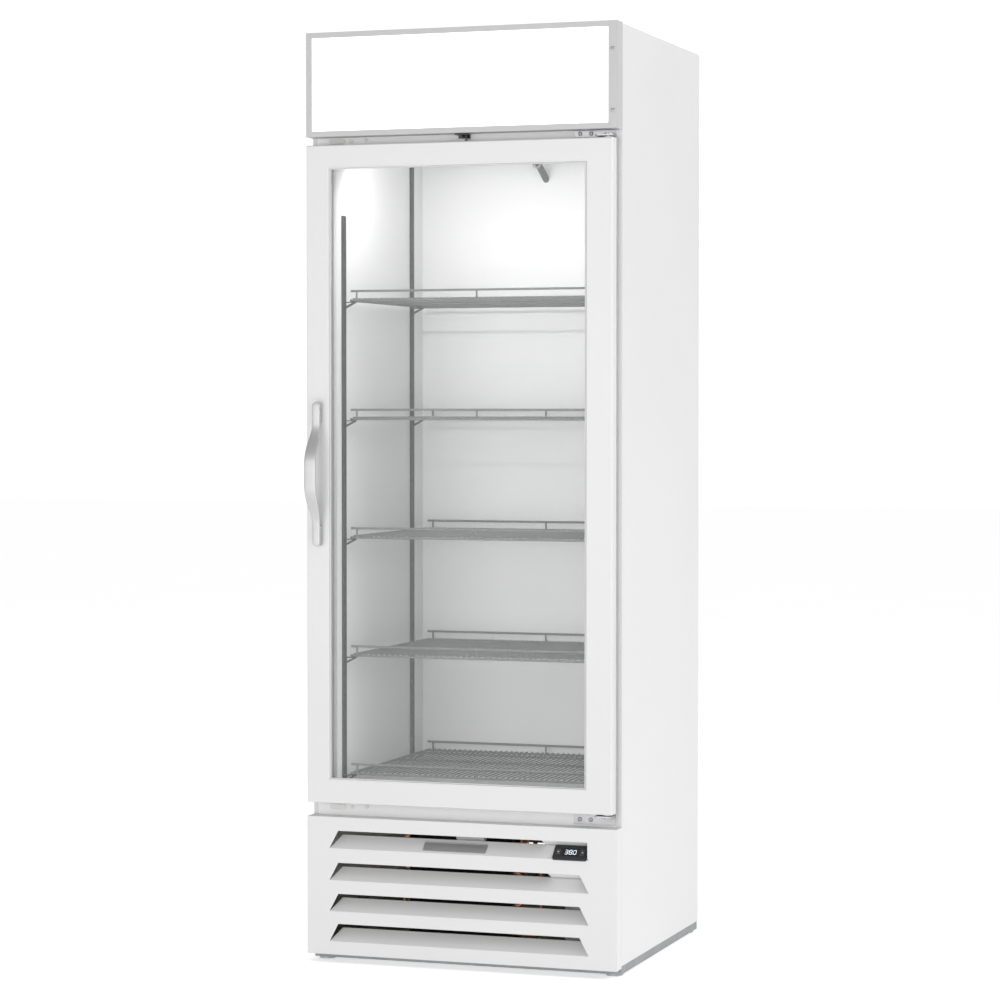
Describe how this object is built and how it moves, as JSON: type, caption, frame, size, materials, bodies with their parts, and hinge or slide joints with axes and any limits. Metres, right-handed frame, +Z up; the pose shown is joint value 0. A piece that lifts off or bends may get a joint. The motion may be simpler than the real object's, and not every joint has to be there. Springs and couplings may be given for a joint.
{
  "type": "glass door merchandiser",
  "caption": "Upright refrigerated display cabinet with a hinged glass door, wire shelves, a lit blank sign box and a louvred grille over the condensing unit.",
  "frame": {"origin": "on the floor, under the middle of the whole machine's box", "axes": "+Z up, +Y from the door towards the back, +X to the right as seen facing the door"},
  "size_m": [0.692, 0.699, 1.986],
  "materials": {
    "cabinet_white": "smooth baked enamel",
    "front_grey": "light grey enamel",
    "liner_white": "gloss white enamel",
    "foam": "rigid polyurethane foam",
    "galvanised": "galvanised sheet",
    "shelf_grey": "grey coated wire",
    "pilaster_grey": "zinc plated strip",
    "sign_white": "translucent white sheet",
    "light_white": "diffusing cover",
    "brushed_handle": "brushed stainless steel",
    "hinge_steel": "plated steel",
    "screw_steel": "bright zinc",
    "clear_glass": "clear toughened glass",
    "spacer_metal": "satin",
    "seal_grey": "soft magnetic seal",
    "black_plastic": "fine textured",
    "key_plastic": "moulded",
    "window_black": "dark tinted",
    "white_plastic": "moulded",
    "bush_plastic": "acetal",
    "badge_metal": "satin blank plate",
    "black_steel": "satin black enamel",
    "copper": "drawn copper tube",
    "fin_aluminium": "thin fins",
    "lock_black": "black oxide",
    "grommet_rubber": "soft mount"
  },
  "bodies": {
    "root": {"side_panel_left": "cabinet_white", "side_panel_right": "cabinet_white", "top_panel": "galvanised", "back_panel": "galvanised", "face_frame": "front_grey", "foam_insulation": "foam", "liner": "liner_white", "base_frame": "galvanised", "levelling_feet": "hinge_steel", "header_box": "front_grey", "header_end_trim": "front_grey", "sign_panel": "sign_white", "header_light_strips": "light_white", "top_hinge_bracket": "hinge_steel", "bottom_hinge_bracket": "hinge_steel", "hinge_pins": "hinge_steel", "frame_screws": "screw_steel", "hinge_hole_plugs": "white_plastic", "lock_barrel": "lock_black", "pilasters": "pilaster_grey", "shelf_1": "shelf_grey", "shelf_2": "shelf_grey", "shelf_3": "shelf_grey", "shelf_4": "shelf_grey", "shelf_5": "shelf_grey", "shelf_clips": "pilaster_grey", "light_bar": "light_white", "evaporator_cover": "liner_white", "evaporator_coil": "fin_aluminium", "evaporator_fan_motor": "black_steel", "drain_tube": "seal_grey", "lower_grille": "cabinet_white", "badge_plate": "badge_metal", "controller_body": "black_plastic", "controller_window": "window_black", "compressor": "black_steel", "compressor_grommets": "grommet_rubber", "condenser_coil": "black_steel", "copper_lines": "copper", "fan_shroud": "galvanised", "condenser_fan_motor": "black_steel", "evaporating_pan": "galvanised", "control_box": "galvanised", "rear_cover": "galvanised", "cord_gland": "black_plastic"},
    "door": {"door_frame": "cabinet_white", "outer_glass": "clear_glass", "inner_glass": "clear_glass", "glass_spacer": "spacer_metal", "door_gasket": "seal_grey", "hinge_bushes": "bush_plastic", "closer_rod": "hinge_steel", "lock_keeper": "cabinet_white", "door_handle": "brushed_handle", "handle_screws": "screw_steel"},
    "lock_cam": {"lock_cam": "lock_black"},
    "condenser_fan": {"condenser_fan": "fin_aluminium"},
    "evaporator_fan": {"evaporator_fan": "black_plastic"},
    "key_left": {"key_left": "key_plastic"},
    "key_right": {"key_right": "key_plastic"}
  },
  "joints": [
    {"name": "door_hinge", "type": "hinge", "parent": "root", "child": "door", "pos_m": [0.322, -0.2795, 1], "axis": [0, 0, 1], "range_deg": [0, 110], "stiffness_Nm_per_rad": 2},
    {"name": "lock_turn", "type": "hinge", "parent": "root", "child": "lock_cam", "pos_m": [0, -0.2745, 1.7587], "axis": [0, 1, 0], "range_deg": [0, 90]},
    {"name": "condenser_fan_spin", "type": "hinge", "parent": "root", "child": "condenser_fan", "pos_m": [-0.022, -0.1225, 0.166], "axis": [0, 1, 0], "continuous": true},
    {"name": "evaporator_fan_spin", "type": "hinge", "parent": "root", "child": "evaporator_fan", "pos_m": [0, -0.1445, 1.845], "axis": [0, 1, 0], "continuous": true},
    {"name": "key_left_press", "type": "slide", "parent": "root", "child": "key_left", "axis": [0, 0.6947, -0.7193], "range_m": [0, 0.0006], "stiffness_N_per_m": 300},
    {"name": "key_right_press", "type": "slide", "parent": "root", "child": "key_right", "axis": [0, 0.6947, -0.7193], "range_m": [0, 0.0006], "stiffness_N_per_m": 300}
  ]
}
